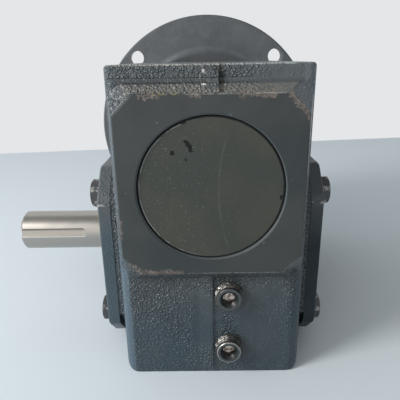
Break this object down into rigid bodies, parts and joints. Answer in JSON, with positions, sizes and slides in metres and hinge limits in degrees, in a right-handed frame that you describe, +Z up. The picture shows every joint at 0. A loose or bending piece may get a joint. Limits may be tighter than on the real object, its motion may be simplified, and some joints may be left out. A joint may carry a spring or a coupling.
{
  "type": "worm gear reducer",
  "caption": "Right-angle worm gear reducer: a cast housing with a plugged bore, octagonal side covers, a keyed output shaft at one side and a round motor flange on a neck behind.",
  "frame": {"origin": "on the base face, under the output shaft's axis and on the middle plane of the casting", "axes": "+Z up from the base; -X is where the output shaft points; +Y is the way the motor leaves the flange, so the plugged bore faces -Y"},
  "size_m": [0.192, 0.1831, 0.1778],
  "materials": {
    "painted_casting": "semi-gloss dark grey paint on sand-cast iron",
    "painted_steel": "semi-gloss dark grey paint",
    "ground_steel": "ground",
    "bearing_steel": "polished",
    "dark_steel": "black oxide",
    "plug_steel": "oiled, with a little rust on the threads",
    "bronze": "machined",
    "seal_rubber": "matt",
    "gasket_sheet": "matt fibre sheet"
  },
  "bodies": {
    "housing": {"housing": "painted_casting", "bore_plug": "painted_steel", "bore_retaining_ring": "dark_steel", "left_cover": "painted_casting", "right_cover": "painted_casting", "left_cover_gasket": "gasket_sheet", "right_cover_gasket": "gasket_sheet", "left_cover_bolts": "painted_steel", "right_cover_bolts": "painted_steel", "motor_flange": "painted_casting", "flange_gasket": "gasket_sheet", "flange_screws": "dark_steel", "upper_pipe_plug": "plug_steel", "lower_pipe_plug": "plug_steel", "output_seal": "seal_rubber", "input_seal": "seal_rubber", "rear_bearing_outer_race": "bearing_steel", "front_bearing_outer_race": "bearing_steel", "left_bearing_outer_race": "bearing_steel", "right_bearing_outer_race": "bearing_steel"},
    "worm": {"worm_shaft": "ground_steel", "worm_retaining_ring": "dark_steel", "rear_bearing_inner_race": "bearing_steel", "front_bearing_inner_race": "bearing_steel"},
    "output": {"output_shaft": "ground_steel", "worm_gear": "bronze", "gear_key": "ground_steel", "gear_spacer": "ground_steel", "left_bearing_inner_race": "bearing_steel", "right_bearing_inner_race": "bearing_steel"},
    "rear_cage": {"rear_bearing_cage": "bearing_steel"},
    "front_cage": {"front_bearing_cage": "bearing_steel"},
    "left_cage": {"left_bearing_cage": "bearing_steel"},
    "right_cage": {"right_bearing_cage": "bearing_steel"}
  },
  "joints": [
    {"name": "output_spin", "type": "hinge", "parent": "housing", "child": "output", "pos_m": [0, 0, 0.0508], "axis": [1, 0, 0], "continuous": true},
    {"name": "input_spin", "type": "hinge", "parent": "housing", "child": "worm", "pos_m": [0, 0, 0.09525], "axis": [0, 1, 0], "continuous": true},
    {"name": "rear_cage_spin", "type": "hinge", "parent": "housing", "child": "rear_cage", "pos_m": [0, -0.0465, 0.09525], "axis": [0, 1, 0], "continuous": true},
    {"name": "front_cage_spin", "type": "hinge", "parent": "housing", "child": "front_cage", "pos_m": [0, 0.051, 0.09525], "axis": [0, 1, 0], "continuous": true},
    {"name": "left_cage_spin", "type": "hinge", "parent": "housing", "child": "left_cage", "pos_m": [-0.0275, 0, 0.0508], "axis": [1, 0, 0], "continuous": true},
    {"name": "right_cage_spin", "type": "hinge", "parent": "housing", "child": "right_cage", "pos_m": [0.0275, 0, 0.0508], "axis": [1, 0, 0], "continuous": true}
  ],
  "couplings": [
    {"joint": "input_spin", "follows": "output_spin", "ratio": 30},
    {"joint": "rear_cage_spin", "follows": "output_spin", "ratio": 11.034},
    {"joint": "front_cage_spin", "follows": "output_spin", "ratio": 12.526},
    {"joint": "left_cage_spin", "follows": "output_spin", "ratio": 0.39688},
    {"joint": "right_cage_spin", "follows": "output_spin", "ratio": 0.39688}
  ]
}
